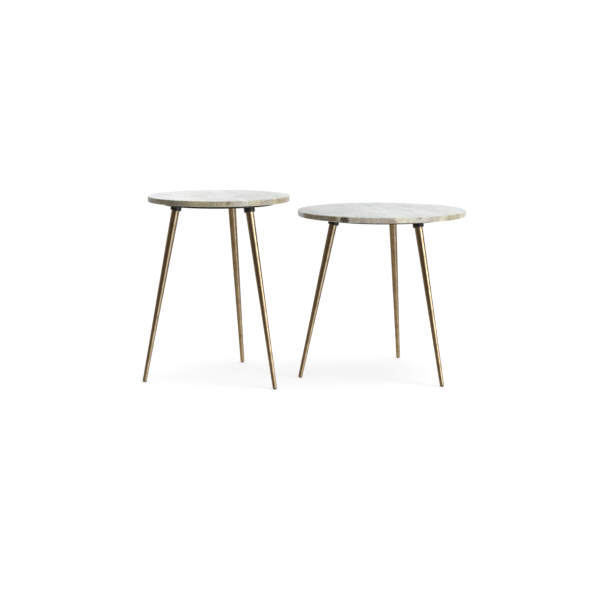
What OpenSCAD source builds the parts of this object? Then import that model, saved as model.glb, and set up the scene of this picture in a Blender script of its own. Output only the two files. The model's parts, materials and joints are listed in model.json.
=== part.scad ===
// A set of two round nesting tables, a tall one and a low one that slides in under it.
// Each table is a round stone top bonded to a black backing disc. Three splayed, tapered
// tube legs screw up into inserts in the disc, through a black cup that seats each leg.
// Millimetres, +Z up, floor at z = 0, origin under the middle of the pair.

/* [Tall table] */
// Height of the tall table, from the floor to its top face
tall_h = 525; // [430:1:640]
// Diameter of the tall table's stone top
tall_top_d = 400; // [330:1:500]
// Diameter of the tall table's backing disc
tall_disc_d = 315; // [260:1:328]
// Distance in from the disc's rim to where the tall table's leg axes meet its underside
tall_leg_inset = 36; // [30:0.5:50]
// Splay of the tall table's legs from upright, in degrees
tall_splay = 11.3; // [6:0.1:16]
// Direction of the tall table's back leg, in degrees from +X towards +Y
tall_turn = 76; // [60:1:100]

/* [Low table] */
// Diameter of the low table's stone top
low_top_d = 480; // [400:1:580]
// Diameter of the low table's backing disc
low_disc_d = 360; // [300:1:396]
// Distance in from the disc's rim to where the low table's leg axes meet its underside
low_leg_inset = 40.5; // [30:0.5:52]
// Splay of the low table's legs from upright, in degrees
low_splay = 12.4; // [6:0.1:16]
// Direction of the low table's back leg, in degrees from +X towards +Y
low_turn = 73; // [60:1:100]

/* [Tops] */
// Thickness of the stone tops
top_t = 15; // [10:0.5:25]
// Radius of the eased edge round each stone top, above and below
edge_r = 1.5; // [0.5:0.1:4]
// Thickness of the backing discs
disc_t = 9; // [8:0.5:18]
// Bevel round the lower rim of the backing discs
disc_bevel = 1; // [0.5:0.1:3]

/* [Legs] */
// Diameter of a leg where it enters its cup
leg_top_d = 23.5; // [20:0.1:30]
// Diameter of a leg at its foot
leg_foot_d = 12; // [10:0.1:16]
// Wall of the leg tubes
leg_wall = 1.5; // [1:0.1:2]
// Length of the threaded plug welded into the top of a leg
plug_l = 14; // [10:0.5:30]

/* [Cups] */
// Length of a cup below the backing disc, along its middle
cup_l = 16; // [12:0.5:24]
// Thinnest metal of a cup above the leg's end
cup_roof = 3; // [2:0.1:5]
// Wall of a cup beside the leg
cup_wall = 3.6; // [2.5:0.1:5]
// Rounding of a cup's outside edge at its mouth
cup_edge_r = 1.8; // [0.5:0.1:2]
// Gap round a leg in its cup
socket_gap = 0.15; // [0.05:0.05:0.3]

/* [Fasteners] */
// Diameter of the studs
stud_d = 10; // [8:1:11]
// How deep a stud is screwed into the plug of its leg
stud_in_plug = 12; // [6:0.5:13]
// How far the end of a stud stays below the stone top
stud_below_top = 0.8; // [0.5:0.1:2]
// Bevel on the ends of a stud
stud_bevel = 1; // [0.5:0.1:1.5]
// Outside diameter of the inserts in the backing discs
insert_d = 14; // [13:0.5:18]
// Gap between the threads of a stud and what it is screwed into
thread_gap = 0.05; // [0.02:0.01:0.1]
// Gap round a stud where it passes through a cup
stud_gap = 0.4; // [0.2:0.1:0.6]
// Gap between an insert and its hole, and between a plug or glide and its tube
fit_gap = 0.05; // [0.02:0.01:0.1]

/* [Feet] */
// How far a glide stands in from the outside of the leg's foot
glide_step = 0.4; // [0.2:0.1:1]
// Radius of the flat worn on the bottom of a glide
glide_flat_r = 3.5; // [1:0.1:4]
// Length of a glide's spigot inside the leg
spigot_l = 10; // [6:0.5:16]

/* [Layout] */
// Gap between the cups of the tall table and the low top that slides in under them
nest_gap = 3; // [3:0.5:40]
// Gap between the rims of the two tops as they stand side by side
rim_gap = 25; // [5:1:200]
// Direction of the low table from the tall one, in degrees from +X towards +Y
side_turn = 6.5; // [0:0.5:30]

/* [Hidden] */
$fn = 96;
TALL = 0;
LOW = 1;
TABLES = [TALL, LOW];
LEGS = [0, 1, 2];
table_name = ["tall", "low"];
leg_name = ["back", "left", "right"];
LEG_PARTS = ["leg_cup", "insert", "stud", "leg_plug", "leg", "foot_glide"];

stone_color = [0.85, 0.83, 0.79];
disc_color = [0.15, 0.13, 0.13];
cup_color = [0.11, 0.11, 0.11];
brass_color = [0.58, 0.46, 0.29];
steel_color = [0.68, 0.69, 0.70];
glide_color = [0.24, 0.19, 0.14];

splay = [tall_splay, low_splay];
turn = [tall_turn, low_turn];
top_r = [tall_top_d / 2, low_top_d / 2];
disc_r = [tall_disc_d / 2, low_disc_d / 2];

// A cup lies along its leg, so the low side of its mouth hangs cup_drop below the disc.
socket_r = leg_top_d / 2 + socket_gap;
cup_r = socket_r + cup_wall;
cup_drop = cup_l * cos(tall_splay) + cup_r * sin(tall_splay);

// The low top clears the cups of the tall table by nest_gap.
low_h = tall_h - top_t - disc_t - cup_drop - nest_gap;
table_h = [tall_h, low_h];
disc_base = [for (t = TABLES) table_h[t] - top_t - disc_t];

// A leg's axis meets the disc's underside at mount_r and the floor at foot_r. Places along
// it are measured up from the floor, and axis_z gives their height.
mount_r = [disc_r[TALL] - tall_leg_inset, disc_r[LOW] - low_leg_inset];
foot_r = [for (t = TABLES) mount_r[t] + disc_base[t] * tan(splay[t])];
function axis_z(t, s) = s * cos(splay[t]);
function axis_s(t, z) = z / cos(splay[t]);
function leg_dir(t, i) = turn[t] + i * 360 / len(LEGS);

// The leg's end is square to its axis, so its high side sets how far it stays below the disc.
seat_s = [for (t = TABLES) axis_s(t, disc_base[t] - cup_roof - socket_r * sin(splay[t]))];
glide_r = leg_foot_d / 2 - glide_step;
glide_s = [for (t = TABLES) axis_s(t, sqrt(pow(glide_r, 2) - pow(glide_flat_r, 2)))];
leg_l = [for (t = TABLES) seat_s[t] - glide_s[t]];

stud_r = stud_d / 2;
stud_from_s = [for (t = TABLES) seat_s[t] - stud_in_plug];
stud_to_s = [
    for (t = TABLES) axis_s(t, disc_base[t] + disc_t - stud_below_top - stud_r * sin(splay[t]))
];
insert_r = insert_d / 2;
// Far enough past any face to cut right through it
past = 30;

// The low table stands rim_gap from the tall one, and the pair is centred on the origin.
side_d = top_r[TALL] + top_r[LOW] + rim_gap;
side_step = side_d * [cos(side_turn), sin(side_turn)];
function foot_reach(t, dir) = max([for (i = LEGS) foot_r[t] * cos(leg_dir(t, i) - dir)]);
function reach(t, dir) = max(top_r[t], foot_reach(t, dir) + leg_foot_d / 2);
pair_left = min(-reach(TALL, 180), side_step[0] - reach(LOW, 180));
pair_right = max(reach(TALL, 0), side_step[0] + reach(LOW, 0));
pair_front = min(-reach(TALL, 270), side_step[1] - reach(LOW, 270));
pair_back = max(reach(TALL, 90), side_step[1] + reach(LOW, 90));
tall_pos = -[pair_left + pair_right, pair_front + pair_back] / 2;
table_pos = [tall_pos, tall_pos + side_step];

// Puts its children on the centre line of table t, with +X out along leg i.
module at_leg(t, i) {
    translate(table_pos[t])
        rotate([0, 0, leg_dir(t, i)])
            children();
}

// Inside at_leg: starts its children s up the leg's axis from the floor, with +Z up along it.
module up_axis(t, s) {
    translate([foot_r[t], 0, 0])
        rotate([0, -splay[t], 0])
            translate([0, 0, s])
                children();
}

module stone_top(t) {
    color(stone_color)
        translate([table_pos[t][0], table_pos[t][1], table_h[t] - top_t])
            rotate_extrude()
                eased_edge_profile(top_r[t], top_t, edge_r);
}

// Half of a slab's section, with both of its outer corners rounded.
module eased_edge_profile(r, h, corner_r) {
    square([r - corner_r, h]);
    translate([0, corner_r])
        square([r, h - 2 * corner_r]);
    for (y = [corner_r, h - corner_r])
        translate([r - corner_r, y])
            circle(r = corner_r);
}

module backing_disc(t) {
    color(disc_color)
        difference() {
            translate([table_pos[t][0], table_pos[t][1], disc_base[t]])
                rotate_extrude()
                    polygon([
                        [0, 0],
                        [disc_r[t] - disc_bevel, 0],
                        [disc_r[t], disc_bevel],
                        [disc_r[t], disc_t],
                        [0, disc_t],
                    ]);
            for (i = LEGS)
                at_leg(t, i)
                    up_axis(t, axis_s(t, disc_base[t]) - past)
                        cylinder(h = disc_t + 2 * past, r = insert_r + fit_gap);
        }
}

// Half of a cup's section before it is trimmed, rounded outside at the mouth.
module cup_profile() {
    square([cup_r - cup_edge_r, cup_l + past]);
    translate([0, cup_edge_r])
        square([cup_r, cup_l + past - cup_edge_r]);
    translate([cup_r - cup_edge_r, cup_edge_r])
        circle(r = cup_edge_r);
}

// Lies along its leg and is trimmed flush with the disc above it.
module leg_cup(t, i) {
    color(cup_color)
        at_leg(t, i)
            difference() {
                intersection() {
                    up_axis(t, axis_s(t, disc_base[t]) - cup_l)
                        rotate_extrude()
                            cup_profile();
                    translate([mount_r[t] - 2 * past, -2 * past, disc_base[t] - 4 * past])
                        cube(4 * past);
                }
                up_axis(t, seat_s[t] - past)
                    cylinder(h = past, r = socket_r);
                up_axis(t, seat_s[t] - past)
                    cylinder(h = 2 * past, r = stud_r + stud_gap);
            }
}

// Trimmed flush with both faces of the disc that it is set in.
module insert(t, i) {
    color(steel_color)
        at_leg(t, i)
            difference() {
                intersection() {
                    up_axis(t, axis_s(t, disc_base[t]) - past)
                        cylinder(h = disc_t + 2 * past, r = insert_r);
                    translate([mount_r[t] - past, -past, disc_base[t]])
                        cube([2 * past, 2 * past, disc_t]);
                }
                up_axis(t, axis_s(t, disc_base[t]) - past)
                    cylinder(h = disc_t + 2 * past, r = stud_r + thread_gap);
            }
}

module stud(t, i) {
    l = stud_to_s[t] - stud_from_s[t];
    color(steel_color)
        at_leg(t, i)
            up_axis(t, stud_from_s[t])
                rotate_extrude()
                    polygon([
                        [0, 0],
                        [stud_r - stud_bevel, 0],
                        [stud_r, stud_bevel],
                        [stud_r, l - stud_bevel],
                        [stud_r - stud_bevel, l],
                        [0, l],
                    ]);
}

// Radius of a leg's outside, up the tube from its foot end.
function leg_r(t, up) = (leg_foot_d + (leg_top_d - leg_foot_d) * up / leg_l[t]) / 2;

module leg_plug(t, i) {
    low_up = leg_l[t] - plug_l;
    color(steel_color)
        at_leg(t, i)
            difference() {
                up_axis(t, seat_s[t] - plug_l)
                    cylinder(
                        h = plug_l,
                        r1 = leg_r(t, low_up) - leg_wall - fit_gap,
                        r2 = leg_top_d / 2 - leg_wall - fit_gap
                    );
                up_axis(t, stud_from_s[t])
                    cylinder(h = stud_in_plug + past, r = stud_r + thread_gap);
            }
}

module leg(t, i) {
    color(brass_color)
        at_leg(t, i)
            up_axis(t, glide_s[t])
                difference() {
                    cylinder(h = leg_l[t], r1 = leg_foot_d / 2, r2 = leg_top_d / 2);
                    // The bore keeps its taper past both ends of the tube.
                    translate([0, 0, -leg_wall])
                        cylinder(
                            h = leg_l[t] + 2 * leg_wall,
                            r1 = leg_r(t, -leg_wall) - leg_wall,
                            r2 = leg_r(t, leg_l[t] + leg_wall) - leg_wall
                        );
                }
}

// A ball end with a spigot up the tube, flat where it stands on the floor.
module foot_glide(t, i) {
    spigot_r = leg_foot_d / 2 - leg_wall - fit_gap;
    color(glide_color)
        at_leg(t, i)
            intersection() {
                up_axis(t, glide_s[t])
                    rotate_extrude() {
                        intersection() {
                            circle(r = glide_r);
                            translate([0, -glide_r])
                                square(glide_r);
                        }
                        square([spigot_r, spigot_l]);
                    }
                translate([foot_r[t] - past, -past, 0])
                    cube(2 * past);
            }
}

for (t = TABLES) {
    stone_top(t);
    backing_disc(t);
    for (i = LEGS) {
        leg_cup(t, i);
        insert(t, i);
        stud(t, i);
        leg_plug(t, i);
        leg(t, i);
        foot_glide(t, i);
    }
}
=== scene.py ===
import json
import math

import bpy
import bmesh
import numpy as np
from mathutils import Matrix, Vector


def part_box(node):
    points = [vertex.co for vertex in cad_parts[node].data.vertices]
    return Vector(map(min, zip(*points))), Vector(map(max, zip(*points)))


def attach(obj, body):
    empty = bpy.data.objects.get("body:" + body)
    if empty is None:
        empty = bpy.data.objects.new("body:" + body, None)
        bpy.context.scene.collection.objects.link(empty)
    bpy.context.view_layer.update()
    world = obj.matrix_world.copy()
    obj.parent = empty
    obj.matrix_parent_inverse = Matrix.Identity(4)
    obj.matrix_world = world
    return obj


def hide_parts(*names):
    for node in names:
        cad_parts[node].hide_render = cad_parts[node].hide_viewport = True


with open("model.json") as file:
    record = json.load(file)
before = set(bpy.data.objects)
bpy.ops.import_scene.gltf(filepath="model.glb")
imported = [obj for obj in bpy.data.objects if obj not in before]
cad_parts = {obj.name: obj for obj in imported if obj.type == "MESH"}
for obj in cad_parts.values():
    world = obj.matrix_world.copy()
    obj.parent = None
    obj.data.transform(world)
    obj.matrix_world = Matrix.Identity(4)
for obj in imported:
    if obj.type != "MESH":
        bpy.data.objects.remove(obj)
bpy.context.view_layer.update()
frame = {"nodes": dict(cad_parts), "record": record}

legNames = ("back", "left", "right")


def measureTable(name):
    # Centre, radii and heights of one table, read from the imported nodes
    topLow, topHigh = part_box(f"{name}_stone_top")
    discLow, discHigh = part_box(f"{name}_backing_disc")
    return {
        "body": f"{name}_table",
        "centre": ((topLow.x + topHigh.x) / 2, (topLow.y + topHigh.y) / 2),
        "radius": (topHigh.y - topLow.y) / 2,
        "top": topHigh.z,
        "under": topLow.z,
        "discRadius": (discHigh.y - discLow.y) / 2,
        "discUnder": discLow.z,
    }


tables = {name: measureTable(name) for name in ("tall", "low")}
print("measured", len(tables), "tables")


camera = {
    "lens": 79.84,  # mm on a 36 mm sensor
    "place": (-0.013, -3.799, 0.8296),
    "down": 9.138,  # degrees below level
}


def makeCamera():
    data = bpy.data.cameras.new("camera")
    data.lens = camera["lens"]
    data.sensor_width = 36
    made = bpy.data.objects.new("camera", data)
    made.location = camera["place"]
    made.rotation_euler = (math.radians(90 - camera["down"]), 0, 0)
    bpy.context.scene.collection.objects.link(made)
    bpy.context.scene.camera = made


def add(tree, kind, inputs=None, **settings):
    # A new node with its settings, each input given a value or joined to another node's output
    made = tree.nodes.new("ShaderNode" + kind)
    for key, value in settings.items():
        setattr(made, key, value)
    for key, value in (inputs or {}).items():
        if isinstance(value, bpy.types.NodeSocket):
            tree.links.new(value, made.inputs[key])
        else:
            made.inputs[key].default_value = value
    return made


def opaque(colour):
    return (*colour, 1.0)


def mixColour(tree, factor, first, second, how="MIX"):
    # How much of the second colour lies over the first
    made = add(tree, "Mix", {0: factor}, data_type="RGBA", blend_type=how)
    for index, value in ((6, first), (7, second)):
        if isinstance(value, bpy.types.NodeSocket):
            tree.links.new(value, made.inputs[index])
        else:
            made.inputs[index].default_value = opaque(value)
    return made.outputs[2]


def ramp(tree, factor, stops, how="LINEAR"):
    # Colours or grey levels at places from 0 to 1
    made = add(tree, "ValToRGB", {0: factor})
    made.color_ramp.interpolation = how
    elements = made.color_ramp.elements
    while len(elements) < len(stops):
        elements.new(0.5)
    for element, (place, colour) in zip(elements, stops):
        element.position = place
    for element, (place, colour) in zip(elements, stops):
        element.color = opaque(colour if isinstance(colour, tuple) else (colour,) * 3)
    return made.outputs["Color"]


def spread(tree, value, fromLow, fromHigh, toLow=0.0, toHigh=1.0, how="LINEAR"):
    # Carries a value from one range to another and holds it there
    sockets = {"Value": value, 1: fromLow, 2: fromHigh, 3: toLow, 4: toHigh}
    return add(tree, "MapRange", sockets, interpolation_type=how).outputs[0]


def reckon(tree, how, first, second=0.0):
    return add(tree, "Math", {0: first, 1: second}, operation=how).outputs[0]


studio = {
    # light round the horizon, from behind the tables by the left, the front and the right
    "round": [
        (0.0, (0.85, 0.875, 0.89)),
        (0.020, (1.26, 1.27, 1.30)),
        (0.06, (1.20, 1.22, 1.25)),
        (0.12, (0.40, 0.37, 0.33)),
        (0.25, (0.26, 0.23, 0.19)),
        (0.34, (0.13, 0.105, 0.075)),
        (0.53, (0.12, 0.10, 0.075)),
        (0.565, (0.34, 0.30, 0.25)),
        (0.59, (1.40, 1.56, 1.80)),
        (0.67, (1.40, 1.56, 1.80)),
        (0.70, (0.42, 0.38, 0.33)),
        (0.88, (0.34, 0.31, 0.27)),
        (0.94, (0.98, 1.005, 1.04)),
        (0.98, (1.02, 1.05, 1.09)),
        (1.0, (0.85, 0.875, 0.89)),
    ],
    "overhead": (0.84, 0.86, 0.89),
    "fromBelow": (0.54, 0.47, 0.36),  # what polished pieces see in place of the bright floor
    "floor": 0.80,
    "floorGlow": 0.40,  # light of its own, so that the floor stays pale
    "floorSize": 9.0,
    "fade": (0.9, 2.4),  # where the floor turns into the backdrop
    "backdrop": 1.02,
}


def makeWorld():
    # Brightness depends on the compass direction, fading into one level overhead and one below
    world = bpy.data.worlds.new("studio")
    world.use_nodes = True
    tree = world.node_tree
    tree.nodes.clear()
    heading = add(tree, "TexCoord").outputs["Generated"]
    parts = add(tree, "SeparateXYZ", {0: heading}).outputs
    front = reckon(tree, "MULTIPLY", parts["Y"], -1.0)
    turn = reckon(tree, "ARCTAN2", parts["X"], front)
    compass = spread(tree, turn, -math.pi, math.pi)
    around = ramp(tree, compass, studio["round"], "EASE")
    high = spread(tree, parts["Z"], 0.45, 0.85, how="SMOOTHSTEP")
    low = spread(tree, parts["Z"], -0.38, -0.56, how="SMOOTHSTEP")
    lit = mixColour(tree, high, around, studio["overhead"])
    lit = mixColour(tree, low, lit, studio["fromBelow"])
    glow = add(tree, "Background", {"Color": lit, "Strength": 1.0})
    out = add(tree, "OutputWorld")
    tree.links.new(glow.outputs[0], out.inputs[0])
    bpy.context.scene.world = world


lamps = {
    "topLight": {
        "place": (0.2, -0.2, 2.6),
        "aim": (0.0, 0.0, 0.4),
        "size": (2.6, 2.0),
        "watts": 14,
        "colour": (1.0, 0.99, 0.97),
    },
    "rightLight": {
        "place": (2.4, -1.3, 1.1),
        "aim": (0.1, 0.0, 0.4),
        "size": (0.9, 1.8),
        "watts": 22,
        "colour": (1.0, 0.97, 0.92),
    },
}


def makeLamps():
    for name, lamp in lamps.items():
        data = bpy.data.lights.new(name, "AREA")
        data.shape = "RECTANGLE"
        data.size, data.size_y = lamp["size"]
        data.energy = lamp["watts"]
        data.color = lamp["colour"]
        made = bpy.data.objects.new(name, data)
        made.location = lamp["place"]
        away = np.subtract(lamp["place"], lamp["aim"])
        made.rotation_euler = (
            math.atan2(math.hypot(away[0], away[1]), away[2]),
            0,
            math.atan2(away[0], -away[1]),
        )
        made.visible_camera = False
        bpy.context.scene.collection.objects.link(made)


def surface(name, rows, closeRows=False, uv=False, marks=None):
    # One mesh from a grid of points, rows by columns. The columns close into a ring, and so do
    # the rows when closeRows is set. Each face joins two neighbours in a row to the next row's.
    count, around = rows.shape[:2]
    last = count if closeRows else count - 1
    row, column = np.meshgrid(np.arange(last), np.arange(around), indexing="ij")
    nextRow = (row + 1) % count
    nextColumn = (column + 1) % around
    corners = np.stack(
        [
            row * around + column,
            row * around + nextColumn,
            nextRow * around + nextColumn,
            nextRow * around + column,
        ],
        axis=-1,
    ).reshape(-1, 4)
    mesh = bpy.data.meshes.new(name)
    mesh.from_pydata(rows.reshape(-1, 3), [], corners)
    for key, values in (marks or {}).items():
        layer = mesh.attributes.new(key, "FLOAT", "POINT")
        layer.data.foreach_set("value", np.broadcast_to(values, rows.shape[:2]).astype(np.float32).ravel())
    if uv:
        # u runs once round the ring and v along the rows, with the last face of a ring ending at 1
        across = np.stack([column, column + 1, column + 1, column], -1) / around
        along = np.stack([row, row, row + 1, row + 1], -1) / count
        layer = mesh.uv_layers.new(name="wrap")
        layer.data.foreach_set("uv", np.stack([across, along], -1).astype(np.float32).ravel())
    cleaned = bmesh.new()
    cleaned.from_mesh(mesh)
    bmesh.ops.remove_doubles(cleaned, verts=cleaned.verts, dist=1e-7)
    bmesh.ops.recalc_face_normals(cleaned, faces=cleaned.faces)
    cleaned.to_mesh(mesh)
    cleaned.free()
    mesh.polygons.foreach_set("use_smooth", np.ones(len(mesh.polygons), bool))
    made = bpy.data.objects.new(name, mesh)
    bpy.context.scene.collection.objects.link(made)
    return made


def makeStage():
    # A floor that fills the view, and a pale bowl beyond it that only the camera sees
    reach = studio["floorSize"]
    turn = np.linspace(0, 2 * np.pi, 96, endpoint=False)
    out = np.array([0.0, 0.3, 1.0])[:, None] * reach
    flat = np.stack(np.broadcast_arrays(out * np.cos(turn), out * np.sin(turn), 0.0), -1)
    floor = surface("floor", flat)
    material = bpy.data.materials.new("palePaper")
    material.use_nodes = True
    tree = material.node_tree
    shader = tree.nodes["Principled BSDF"]
    coords = add(tree, "TexCoord").outputs["Object"]
    grain = add(tree, "TexNoise", {"Vector": coords, "Scale": 3.0, "Detail": 4.0}).outputs["Fac"]
    tone = ramp(tree, grain, [(0.3, studio["floor"]), (0.7, studio["floor"] + 0.01)])
    tree.links.new(tone, shader.inputs["Base Color"])
    shader.inputs["Roughness"].default_value = 0.9
    shader.inputs["Specular IOR Level"].default_value = 0.0
    shader.inputs["Emission Color"].default_value = (1, 1, 1, 1)
    shader.inputs["Emission Strength"].default_value = studio["floorGlow"]
    away = add(tree, "VectorMath", {0: coords}, operation="LENGTH").outputs["Value"]
    far = spread(tree, away, *studio["fade"], how="SMOOTHSTEP")
    light = add(tree, "Emission", {"Color": (1, 1, 1, 1), "Strength": studio["backdrop"]})
    both = add(tree, "MixShader", {0: far, 1: shader.outputs[0], 2: light.outputs[0]})
    tree.links.new(both.outputs[0], tree.nodes["Material Output"].inputs[0])
    floor.data.materials.append(material)
    floor.visible_glossy = False

    rise = np.radians(np.linspace(-2, 80, 20))[:, None]
    bowl = np.stack(
        np.broadcast_arrays(
            reach * np.cos(rise) * np.cos(turn), reach * np.cos(rise) * np.sin(turn), reach * np.sin(rise)
        ),
        -1,
    )
    backdrop = surface("backdrop", bowl)
    glow = bpy.data.materials.new("backdropGlow")
    glow.use_nodes = True
    tree = glow.node_tree
    tree.nodes.clear()
    light = add(tree, "Emission", {"Color": (1, 1, 1, 1), "Strength": studio["backdrop"]})
    out = add(tree, "OutputMaterial")
    tree.links.new(light.outputs[0], out.inputs[0])
    backdrop.data.materials.append(glow)
    for ray in ("diffuse", "glossy", "transmission", "volume_scatter", "shadow"):
        setattr(backdrop, "visible_" + ray, False)


topShape = {
    "around": 900,
    "eased": 0.0015,  # radius of the two arrises
    "wander": 0.00010,  # how far the ground edge wanders in and out
    "chips": 22,
    "chipDepth": (0.0002, 0.0006),
    "chipWidth": (0.0010, 0.0030),
    "seed": {"tall": 4, "low": 11},
}


def easedSlab(radius, under, top, eased):
    # Half of a slab's section as radius, height and the outward direction at each point: out
    # along the top face, round a quarter circle, down the edge, round again and back below.
    quarter = np.linspace(0, np.pi / 2, 8)
    inward = radius - eased
    faceOut = inward * np.sqrt(np.linspace(0, 1, 30)[:-1])
    faceBack = inward * np.linspace(1, 0, 12)[1:]
    edge = np.linspace(top - eased, under + eased, 12)[1:-1]
    r = np.concatenate([
        faceOut,
        inward + eased * np.sin(quarter),
        np.full(len(edge), radius),
        inward + eased * np.cos(quarter),
        faceBack,
    ])
    z = np.concatenate([
        np.full(len(faceOut), top),
        top - eased + eased * np.cos(quarter),
        edge,
        under + eased - eased * np.sin(quarter),
        np.full(len(faceBack), under),
    ])
    outR = np.concatenate([
        np.zeros(len(faceOut)), np.sin(quarter), np.ones(len(edge)), np.cos(quarter), np.zeros(len(faceBack))
    ])
    outZ = np.concatenate([
        np.ones(len(faceOut)), np.cos(quarter), np.zeros(len(edge)), -np.sin(quarter), -np.ones(len(faceBack))
    ])
    return r[:, None], z[:, None], outR[:, None], outZ[:, None]


def makeStoneTop(name, material):
    # A disc with eased arrises. Its edge wanders in by a sum of waves round the rim, and small
    # chips are scooped from the arrises: each is a smooth dip round its own place on the rim.
    table = tables[name]
    random = np.random.default_rng(topShape["seed"][name])
    radius, eased = table["radius"], topShape["eased"]
    r, z, outR, outZ = easedSlab(radius, table["under"], table["top"], eased)
    turn = np.linspace(0, 2 * np.pi, topShape["around"], endpoint=False)

    waves = np.array([5, 9, 14, 23, 41])[:, None]
    phase = random.uniform(0, 2 * np.pi, (5, 1))
    wander = (np.sin(waves * turn + phase) / np.sqrt(waves)).sum(0)
    wander = topShape["wander"] * (wander - wander.min()) / 2

    places = random.uniform(0, 2 * np.pi, (topShape["chips"], 1))
    width = random.uniform(*topShape["chipWidth"], (topShape["chips"], 1)) / radius
    depth = random.uniform(*topShape["chipDepth"], (topShape["chips"], 1))
    gap = np.abs((turn - places + np.pi) % (2 * np.pi) - np.pi)
    scoop = (depth * np.clip(1 - (gap / width) ** 2, 0, 1) ** 1.5).max(0)

    corner = 4 * (outR * np.abs(outZ)) ** 2  # 1 in the middle of an arris, 0 on the flats
    upper = np.where(outZ > 0, 1.0, 0.6)
    sunk = wander * outR + scoop * corner * upper
    ringR, ringZ = r - sunk * outR, z - sunk * outZ
    x = table["centre"][0] + ringR * np.cos(turn)
    y = table["centre"][1] + ringR * np.sin(turn)
    rows = np.stack(np.broadcast_arrays(x, y, ringZ), -1)

    nearRim = np.clip(1 - (radius - r) / 0.012, 0, 1) ** 2
    rim = np.maximum(nearRim * 0.35 * (outZ > 0.99), np.clip(outR * 1.4, 0, 1))
    under = (outZ < -0.5) * 1.0
    # The arris mark says where a painted cream highlight goes, along both arrises.
    marks = {"rim": rim, "under": under, "arris": np.clip(corner, 0, 1)}
    made = surface(f"{name}StoneTop", rows, marks=marks)
    made.data.materials.append(material)
    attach(made, table["body"])
    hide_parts(f"{name}_stone_top")
    return made


# Colours of the stone, as a mason would name them. Olive also carries painted shade, at the left ends of the
# bands.
stone = {
    "cream": (0.66, 0.61, 0.48),
    "paleGreen": (0.60, 0.60, 0.49),
    "straw": (0.54, 0.48, 0.30),
    "greyBeige": (0.46, 0.41, 0.335),
    "tan": (0.43, 0.365, 0.235),
    "khaki": (0.33, 0.285, 0.18),
    "ochre": (0.30, 0.245, 0.115),
    "golden": (0.17, 0.112, 0.050),
    "olive": (0.195, 0.163, 0.103),
    "pinkish": (0.50, 0.41, 0.345),
    "rose": (0.36, 0.27, 0.22),
    "ash": (0.40, 0.41, 0.38),
    "blueGrey": (0.205, 0.225, 0.225),
    "bark": (0.055, 0.042, 0.026),
    "white": (0.72, 0.73, 0.74),
}

# Bands lie across each slab at the angle "grain"; each starts at a share of the slab's width. They are the
# stone's own banding with painted shade over it: they grow darker towards the left end of each slab, down to
# olive, where less light falls.
# Knots are dark inclusions: place across and along the bands and height, then size, in metres,
# and how much of the colour beneath they hide.
slabs = {
    "tall": {
        "grain": 17,
        "bands": [
            (0.00, "ash"), (0.03, "olive"), (0.11, "olive"), (0.16, "khaki"), (0.26, "tan"),
            (0.33, "khaki"), (0.44, "tan"), (0.52, "greyBeige"), (0.58, "paleGreen"), (0.64, "tan"),
            (0.73, "greyBeige"), (0.80, "straw"), (0.88, "tan"), (0.94, "cream"), (1.0, "white"),
        ],
        "knots": [
            {"at": (-0.022, -0.199, 0.519), "size": (0.0050, 0.012, 0.0038), "colour": "bark", "hide": 0.6},
            {"at": (-0.157, -0.124, 0.517), "size": (0.0110, 0.020, 0.0080), "colour": "bark", "hide": 0.35},
            {"at": (-0.088, -0.179, 0.513), "size": (0.0200, 0.030, 0.0080), "colour": "ochre", "hide": 0.55},
        ],
        # painted reflection: a paler, cooler tint on the top face
        "faceTint": (0.67, 0.68, 0.70),
        "bedding": 0.45,  # how strongly the fine layers show on the edge
    },
    "low": {
        "grain": 17,
        "bands": [
            (0.00, "ash"), (0.015, "olive"), (0.10, "olive"), (0.115, "tan"), (0.13, "greyBeige"),
            (0.20, "greyBeige"), (0.29, "greyBeige"), (0.35, "pinkish"), (0.41, "cream"),
            (0.54, "paleGreen"), (0.61, "pinkish"), (0.68, "cream"), (0.76, "tan"), (0.88, "cream"),
            (1.0, "ash"),
        ],
        "knots": [
            {"at": (-0.169, -0.168, 0.472), "size": (0.0108, 0.030, 0.0150), "colour": "bark", "hide": 0.97},
            {"at": (-0.194, -0.142, 0.473), "size": (0.0100, 0.025, 0.0080), "colour": "golden", "hide": 0.8},
            {"at": (-0.057, -0.232, 0.464), "size": (0.0180, 0.020, 0.0130), "colour": "rose", "hide": 0.85},
            {"at": (0.020, -0.239, 0.476), "size": (0.0080, 0.012, 0.0050), "colour": "olive", "hide": 0.5},
        ],
        # painted reflection: a paler, cooler tint on the top face
        "faceTint": (0.52, 0.555, 0.545),
        "bedding": 0.75,
    },
}


def newMaterial(name):
    made = bpy.data.materials.new(name)
    made.use_nodes = True
    return made, made.node_tree, made.node_tree.nodes["Principled BSDF"]


def noise(tree, vector, scale, detail=2.0, roughness=0.5, distortion=0.0):
    sockets = {
        "Vector": vector,
        "Scale": scale,
        "Detail": detail,
        "Roughness": roughness,
        "Distortion": distortion,
    }
    return add(tree, "TexNoise", sockets)


def stretch(tree, vector, scale, shift=(0, 0, 0)):
    return add(tree, "Mapping", {"Vector": vector, "Scale": scale, "Location": shift}).outputs[0]


def knotMask(tree, own, ragged, knot):
    # 1 inside an ellipsoid whose skin is pushed about by the ragged noise, 0 outside
    near = add(tree, "VectorMath", {0: own, 1: knot["at"]}, operation="SUBTRACT").outputs[0]
    near = add(tree, "VectorMath", {0: near, 1: knot["size"]}, operation="DIVIDE").outputs[0]
    near = add(tree, "VectorMath", {0: near}, operation="LENGTH").outputs["Value"]
    near = add(tree, "Math", {0: ragged, 1: 1.3, 2: near}, operation="MULTIPLY_ADD").outputs[0]
    return spread(tree, near, 1.35, 1.70, knot["hide"], 0.0)


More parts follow.
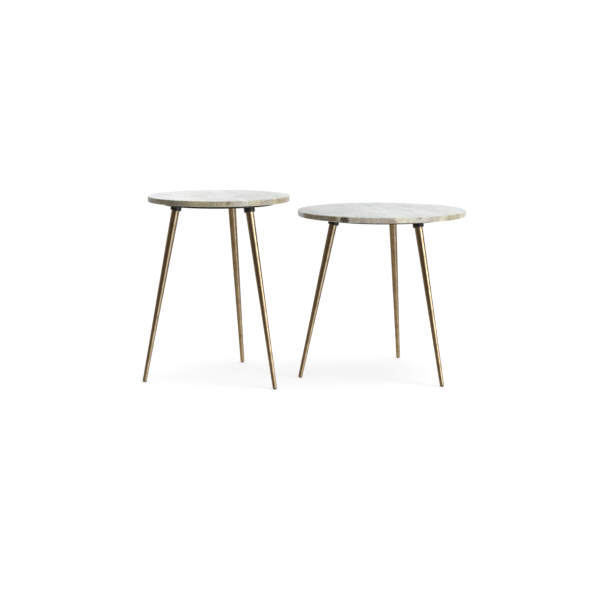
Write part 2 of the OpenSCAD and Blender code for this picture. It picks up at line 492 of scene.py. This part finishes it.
def makeStone(name):
    # Polished stone: broad bands across the slab, with painted shade darkening them towards the left end,
    # clouds, long grey streaks, thin veins, specks and knots. The pattern runs through the slab, so the edge
    # shows what crosses the top. The top face carries a painted reflection, paler and cooler, and the arrises
    # carry a painted cream highlight.
    slab = slabs[name]
    table = tables[name]
    material, tree, shader = newMaterial(f"{name}Stone")
    coords = add(tree, "TexCoord").outputs["Object"]
    rim = add(tree, "Attribute", attribute_name="rim").outputs["Fac"]
    under = add(tree, "Attribute", attribute_name="under").outputs["Fac"]
    arris = add(tree, "Attribute", attribute_name="arris").outputs["Fac"]
    own = add(tree, "Mapping", {
        "Vector": coords,
        "Location": (*table["centre"], 0),
        "Rotation": (0, 0, math.radians(slab["grain"])),
    }, vector_type="TEXTURE").outputs[0]
    drift = noise(tree, own, 7.0, 3.0).outputs["Color"]
    drift = add(tree, "VectorMath", {0: drift, 1: (0.5, 0.5, 0.5)}, operation="SUBTRACT").outputs[0]
    warp = {0: drift, 1: (0.05, 0.05, 0.02), 2: own}
    warped = add(tree, "VectorMath", warp, operation="MULTIPLY_ADD").outputs[0]

    across = add(tree, "SeparateXYZ", {0: warped}).outputs["X"]
    share = spread(tree, across, -table["radius"], table["radius"])
    # Painted shade: the band colours darken towards the left end of each slab, down to olive, over the
    # stone's own banding.
    bands = [(place, stone[colour]) for place, colour in slab["bands"]]
    colour = ramp(tree, share, bands)

    clouds = noise(tree, stretch(tree, warped, (1, 0.45, 0.8)), 16.0, 6.0, 0.66).outputs["Fac"]
    shade = ramp(tree, clouds, [(0.32, 0.72), (0.5, 1.0), (0.7, 1.16)])
    colour = mixColour(tree, 1.0, colour, shade, "MULTIPLY")

    # Long grey streaks, fewer on the edge
    streaks = noise(tree, stretch(tree, warped, (1, 0.2, 0.4), (3, 1, 2)), 52.0, 4.0, 0.6, 0.5).outputs["Fac"]
    streaks = spread(tree, streaks, 0.47, 0.64, 0.0, 0.85, "SMOOTHSTEP")
    streaks = reckon(tree, "MULTIPLY", streaks, spread(tree, rim, 0.3, 1.0, 1.0, 0.35))
    colour = mixColour(tree, streaks, colour, stone["blueGrey"])

    # Fine bedding, clearest on the edge
    sheets = noise(tree, stretch(tree, warped, (1, 0.10, 0.16)), 210.0, 2.0, 0.6).outputs["Fac"]
    sheets = ramp(tree, sheets, [(0.35, 0.84), (0.65, 1.12)])
    colour = mixColour(tree, spread(tree, rim, 0.3, 1.0, 0.25, slab["bedding"]), colour, sheets, "MULTIPLY")

    # Dark veins wander across the slab, and paler hairlines follow the bands
    vein = noise(tree, stretch(tree, warped, (1, 0.6, 1), (7, 0, 1)), 9.0, 7.0, 0.62, 0.6).outputs["Fac"]
    vein = reckon(tree, "ABSOLUTE", reckon(tree, "SUBTRACT", vein, 0.5))
    vein = spread(tree, vein, 0.0, 0.010, 0.75, 0.0)
    where = noise(tree, own, 6.0, 1.0).outputs["Fac"]
    vein = reckon(tree, "MULTIPLY", vein, spread(tree, where, 0.42, 0.60))
    colour = mixColour(tree, vein, colour, stone["olive"])
    hair = noise(tree, stretch(tree, warped, (1, 0.25, 0.6), (1, 5, 3)), 24.0, 6.0, 0.6, 0.3).outputs["Fac"]
    hair = reckon(tree, "ABSOLUTE", reckon(tree, "SUBTRACT", hair, 0.48))
    hair = spread(tree, hair, 0.0, 0.008, 0.35, 0.0)
    colour = mixColour(tree, hair, colour, stone["white"])

    speck = add(tree, "TexVoronoi", {"Vector": warped, "Scale": 130.0, "Randomness": 1.0}).outputs["Distance"]
    speck = spread(tree, speck, 0.10, 0.2, 0.7, 0.0)
    some = noise(tree, own, 24.0, 2.0).outputs["Fac"]
    speck = reckon(tree, "MULTIPLY", speck, spread(tree, some, 0.56, 0.66))
    colour = mixColour(tree, speck, colour, stone["bark"])

    ragged = noise(tree, own, 190.0, 4.0, 0.65).outputs["Fac"]
    crumbs = noise(tree, own, 330.0, 2.0, 0.6).outputs["Fac"]
    crumbs = spread(tree, crumbs, 0.54, 0.62, 0.0, 0.3)
    for knot in slab["knots"]:
        inside = mixColour(tree, crumbs, stone[knot["colour"]], stone["tan"])
        colour = mixColour(tree, knotMask(tree, own, ragged, knot), colour, inside)

    # Painted reflection: the top face is mixed towards a paler, cooler colour than the same stone shows on
    # its edge. This stands in for the bright backdrop it reflects.
    faceWithReflection = mixColour(tree, 0.35, colour, slab["faceTint"])
    colour = mixColour(tree, rim, faceWithReflection, colour)
    # Painted highlight: cream along the arrises, where the rounding catches the light.
    colour = mixColour(tree, reckon(tree, "MULTIPLY", arris, 0.45), colour, stone["cream"])
    tree.links.new(colour, shader.inputs["Base Color"])

    smear = noise(tree, own, 22.0, 4.0).outputs["Fac"]
    gloss = spread(tree, smear, 0.3, 0.7, 0.11, 0.22)
    gloss = reckon(tree, "MAXIMUM", gloss, spread(tree, rim, 0.3, 1.0, 0.0, 0.34))
    gloss = reckon(tree, "MAXIMUM", gloss, reckon(tree, "MULTIPLY", under, 0.75))
    tree.links.new(gloss, shader.inputs["Roughness"])

    pits = noise(tree, own, 420.0, 2.0, 0.6).outputs["Fac"]
    pits = spread(tree, pits, 0.25, 0.42)
    soft = noise(tree, own, 45.0, 2.0).outputs["Fac"]
    height = add(tree, "Math", {0: soft, 1: 0.5, 2: pits}, operation="MULTIPLY_ADD").outputs[0]
    depth = spread(tree, reckon(tree, "MAXIMUM", rim, under), 0.0, 1.0, 0.02, 0.14)
    bump = add(tree, "Bump", {"Strength": depth, "Distance": 0.0004, "Height": height})
    tree.links.new(bump.outputs[0], shader.inputs["Normal"])
    return material


legShape = {
    "around": 64,
    "along": 150,
    "wall": 0.0015,
    "lip": 0.0004,  # rounding of the tube's ends
    "wobble": 0.00005,  # how far the drawn wall wanders
}


def nodePoints(node):
    mesh = frame["nodes"][node].data
    flat = np.empty(len(mesh.vertices) * 3)
    mesh.vertices.foreach_get("co", flat)
    return np.unique(flat.reshape(-1, 3).round(7), axis=0)


def legLine(node):
    # A tube's two end centres and end radii. Its points lie longest along its axis, and the
    # points furthest each way are its end rings, whose middles give the axis again, exactly.
    found = nodePoints(node)
    middle = found.mean(0)
    axis = np.linalg.svd(found - middle, full_matrices=False)[2][0]
    axis = axis * np.sign(axis[2])
    for _ in range(3):
        along = (found - middle) @ axis
        rings = [found[along < along.min() + 0.0006], found[along > along.max() - 0.0006]]
        ends = [(ring.min(0) + ring.max(0)) / 2 for ring in rings]
        axis = (ends[1] - ends[0]) / np.linalg.norm(ends[1] - ends[0])
        middle = ends[0]
    radii = []
    for ring, end in zip(rings, ends):
        aside = (ring - end) - np.outer((ring - end) @ axis, axis)
        radii.append(np.linalg.norm(aside, axis=1).max())
    return ends[0], ends[1], radii[0], radii[1]


def legFrame(node):
    # Foot centre, head centre, end radii, length, and three directions: along, outward, sideways
    foot, head, footRadius, headRadius = legLine(node)
    length = np.linalg.norm(head - foot)
    along = (head - foot) / length
    outward = np.array([along[1], -along[0], 0.0])
    outward = outward / np.linalg.norm(outward)
    return foot, footRadius, headRadius, length, along, outward, np.cross(along, outward)


def turned(origin, along, outward, sideways, s, r, turn):
    # Rings about an axis: each point stands s along it and r away from it
    ring = np.cos(turn)[:, None] * outward + np.sin(turn)[:, None] * sideways
    return origin + s[..., None] * along + r[..., None] * ring


def makeLeg(name, side, material):
    # A tapered tube: its section runs up the outside, over the top, down the inside and round
    # the lip at the foot, and turns about the leg's axis. The wall wanders by a sum of waves.
    node = f"{name}_leg_{side}"
    foot, footRadius, headRadius, length, along, outward, sideways = legFrame(node)
    lip = legShape["lip"]
    bend = np.linspace(0, np.pi / 2, 5)
    up = np.linspace(lip, length - lip, legShape["along"])[1:-1]
    down = np.linspace(length, 0, 12)
    taper = (headRadius - footRadius) / length
    s = np.concatenate([lip - lip * np.cos(bend), up, length - lip + lip * np.sin(bend), down])
    edge = np.concatenate([
        -lip * (1 - np.sin(bend)),
        0 * up,
        -lip * (1 - np.cos(bend)),
        0 * down - legShape["wall"],
    ])
    turn = np.linspace(0, 2 * np.pi, legShape["around"], endpoint=False)
    random = np.random.default_rng(sum(map(ord, node)))
    waves = random.uniform(40, 160, 6)[:, None, None]
    twist = random.integers(0, 4, 6)[:, None, None]
    phase = random.uniform(0, 6.3, 6)[:, None, None]
    wobble = np.sin(waves * s[None, :, None] + twist * turn + phase).sum(0) * legShape["wobble"] / 3
    wobble = wobble * (edge == 0)[:, None]
    r = (footRadius + taper * s + edge)[:, None] + wobble - legShape["wobble"]
    rows = turned(foot, along, outward, sideways, np.broadcast_to(s[:, None], r.shape), r, turn)
    made = surface(f"{name}Leg{side.capitalize()}", rows, closeRows=True, uv=True)
    made.data.materials.append(material)
    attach(made, tables[name]["body"])
    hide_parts(node)


cupShape = {
    "around": 72,
    "edge": 0.0018,  # rounding outside the mouth
    "mouth": 0.0005,  # rounding inside the mouth
    "gap": 0.00015,  # round the leg
    "hole": 0.0054,  # radius of the hole for the stud
}


def makeCup(name, side, material):
    # A collar along the leg's axis. Its section starts at the hole for the stud and runs over
    # the leg's end, down the socket, round the mouth and up the outside, to where each line of
    # the wall meets the backing disc, and then back across the disc's underside.
    node = f"{name}_leg_cup_{side}"
    foot, footRadius, headRadius, length, along, outward, sideways = legFrame(f"{name}_leg_{side}")
    found = (nodePoints(node) - foot) @ along
    spine = nodePoints(node) - foot - found[:, None] * along
    outside = np.linalg.norm(spine, axis=1).max()
    mouth = found.min()
    socket = headRadius + cupShape["gap"]
    turn = np.linspace(0, 2 * np.pi, cupShape["around"], endpoint=False)
    bend = np.linspace(0, np.pi / 2, 9)
    small, large = cupShape["mouth"], cupShape["edge"]
    wall = np.linspace(0, 1, 6)
    s = np.concatenate([
        [length, length],
        mouth + small + (length - mouth - small) * (1 - wall[1:-1]),
        mouth + small - small * np.sin(bend),
        mouth + large - large * np.cos(bend),
    ])
    r = np.concatenate([
        [cupShape["hole"], socket], np.full(4, socket), socket + small * (1 - np.cos(bend)),
        outside - large + large * np.sin(bend),
    ])
    shape = (len(s), len(turn))
    s, r = np.broadcast_to(s[:, None], shape), np.broadcast_to(r[:, None], shape)

    def underDisc(radius):
        # How far along the axis a line at this radius meets the disc, all round
        lean = radius * (np.cos(turn) * outward[2] + np.sin(turn) * sideways[2])
        return (tables[name]["discUnder"] - foot[2] - lean) / along[2]

    rise = underDisc(outside)
    lift = s[-1] + (rise - s[-1]) * np.linspace(0.1, 1, 10)[:, None]
    top = np.stack([underDisc(outside - (outside - cupShape["hole"]) * k) for k in (0.5, 1.0)])
    inward = np.array([0.5 * (outside + cupShape["hole"]), cupShape["hole"]])[:, None]
    s = np.concatenate([s, lift, top])
    r = np.concatenate([r, np.full(lift.shape, outside), np.broadcast_to(inward, top.shape)])
    rows = turned(foot, along, outward, sideways, s, r, turn)
    made = surface(f"{name}Cup{side.capitalize()}", rows, closeRows=True)
    made.data.materials.append(material)
    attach(made, tables[name]["body"])
    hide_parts(node)


brass = {
    "bright": (0.50, 0.374, 0.218),
    "warm": (0.43, 0.307, 0.168),
    "patina": (0.31, 0.209, 0.110),
    "dark": (0.10, 0.065, 0.035),
    "worn": (0.34, 0.06),  # heights over which the legs turn paler, as painted floor light, and rougher
    # painted light: how much paler the legs are painted near the floor
    "rub": (1.32, 1.33, 1.34),
}


def makeBrass():
    # Antique brass: a brown patina rubbed through in clouds, drawn lines along the tube, and painted light
    # that makes it paler towards the floor, where it is also rougher, under a thin clear lacquer.
    material, tree, shader = newMaterial("antiqueBrass")
    coords = add(tree, "TexCoord").outputs
    wrap = coords["UV"]
    up = add(tree, "SeparateXYZ", {0: coords["Object"]}).outputs["Z"]
    clouds = noise(tree, coords["Object"], 46.0, 5.0, 0.62).outputs["Fac"]
    colour = ramp(tree, clouds, [(0.30, brass["patina"]), (0.46, brass["warm"]), (0.62, brass["bright"])])
    drawn = noise(tree, stretch(tree, wrap, (60, 5, 1)), 3.0, 3.0, 0.6).outputs["Fac"]
    lines = ramp(tree, drawn, [(0.3, 0.84), (0.7, 1.12)])
    colour = mixColour(tree, 0.8, colour, lines, "MULTIPLY")
    blots = noise(tree, coords["Object"], 210.0, 3.0, 0.7).outputs["Fac"]
    blots = spread(tree, blots, 0.62, 0.74, 0.0, 0.5)
    colour = mixColour(tree, blots, colour, brass["dark"])
    # Painted light: the legs are painted paler towards the floor, standing in for light from the floor.
    # Roughness rises there too.
    worn = spread(tree, up, *brass["worn"], how="SMOOTHSTEP")
    floorLitColour = mixColour(tree, 1.0, colour, brass["rub"], "MULTIPLY")
    colour = mixColour(tree, worn, colour, floorLitColour)
    tree.links.new(colour, shader.inputs["Base Color"])
    shader.inputs["Metallic"].default_value = 1.0
    rough = spread(tree, clouds, 0.3, 0.65, 0.32, 0.22)
    rough = add(tree, "Math", {0: worn, 1: 0.16, 2: rough}, operation="MULTIPLY_ADD").outputs[0]
    tree.links.new(rough, shader.inputs["Roughness"])
    shader.inputs["Coat Weight"].default_value = 0.8
    shader.inputs["Coat Roughness"].default_value = 0.15
    shader.inputs["Coat IOR"].default_value = 1.6
    dents = noise(tree, coords["Object"], 110.0, 2.0).outputs["Fac"]
    height = add(tree, "Math", {0: drawn, 1: 0.25, 2: dents}, operation="MULTIPLY_ADD").outputs[0]
    bump = add(tree, "Bump", {"Strength": 0.06, "Distance": 0.0002, "Height": height})
    tree.links.new(bump.outputs[0], shader.inputs["Normal"])
    return material


finishes = {
    "black_iron": {
        "low": (0.006, 0.006, 0.006), "high": (0.018, 0.018, 0.017),
        "grain": 700, "rough": (0.26, 0.38), "metal": 0.0, "bump": 0.30,
    },
    "black_board": {
        "low": (0.014, 0.012, 0.012), "high": (0.030, 0.026, 0.025),
        "grain": 240, "rough": (0.45, 0.62), "metal": 0.0, "bump": 0.15,
    },
    "plated_steel": {
        "low": (0.50, 0.50, 0.48), "high": (0.68, 0.68, 0.66),
        "grain": 500, "rough": (0.25, 0.40), "metal": 1.0, "bump": 0.10,
    },
    "glide": {
        "low": (0.16, 0.115, 0.07), "high": (0.24, 0.18, 0.115),
        "grain": 400, "rough": (0.45, 0.60), "metal": 0.0, "bump": 0.15,
    },
}


def makeFinish(name):
    finish = finishes[name]
    material, tree, shader = newMaterial(name.replace("_", " ").title().replace(" ", ""))
    coords = add(tree, "TexCoord").outputs["Object"]
    fine = noise(tree, coords, finish["grain"], 4.0, 0.6).outputs["Fac"]
    broad = noise(tree, coords, finish["grain"] / 12, 3.0, 0.6).outputs["Fac"]
    half = reckon(tree, "MULTIPLY", broad, 0.5)
    both = add(tree, "Math", {0: fine, 1: 0.5, 2: half}, operation="MULTIPLY_ADD").outputs[0]
    shade = ramp(tree, both, [(0.35, finish["low"]), (0.65, finish["high"])])
    tree.links.new(shade, shader.inputs["Base Color"])
    tree.links.new(spread(tree, broad, 0.3, 0.7, *finish["rough"]), shader.inputs["Roughness"])
    shader.inputs["Metallic"].default_value = finish["metal"]
    bump = add(tree, "Bump", {"Strength": finish["bump"], "Distance": 0.0003, "Height": fine})
    tree.links.new(bump.outputs[0], shader.inputs["Normal"])
    return material


def dressNodes(made):
    # Each imported node whose slot has a finish here, listed or given, gets that finish
    for part in frame["record"]["subparts"]:
        slot = part["material_slot"]
        if slot in finishes and slot not in made:
            made[slot] = makeFinish(slot)
        if slot in made:
            data = frame["nodes"][part["node"]].data
            data.materials.clear()
            data.materials.append(made[slot])


makeCamera()
makeWorld()
makeLamps()
makeStage()
print("stage ready")

antiqueBrass = makeBrass()
blackIron = makeFinish("black_iron")
for table in tables:
    makeStoneTop(table, makeStone(table))
    print(table, "stone top made")
    for side in legNames:
        makeLeg(table, side, antiqueBrass)
        makeCup(table, side, blackIron)
    print(table, "legs and cups made")
dressNodes({"black_iron": blackIron})
print("packed nodes dressed")

bpy.context.scene.view_settings.view_transform = "Standard"
bpy.context.view_layer.update()
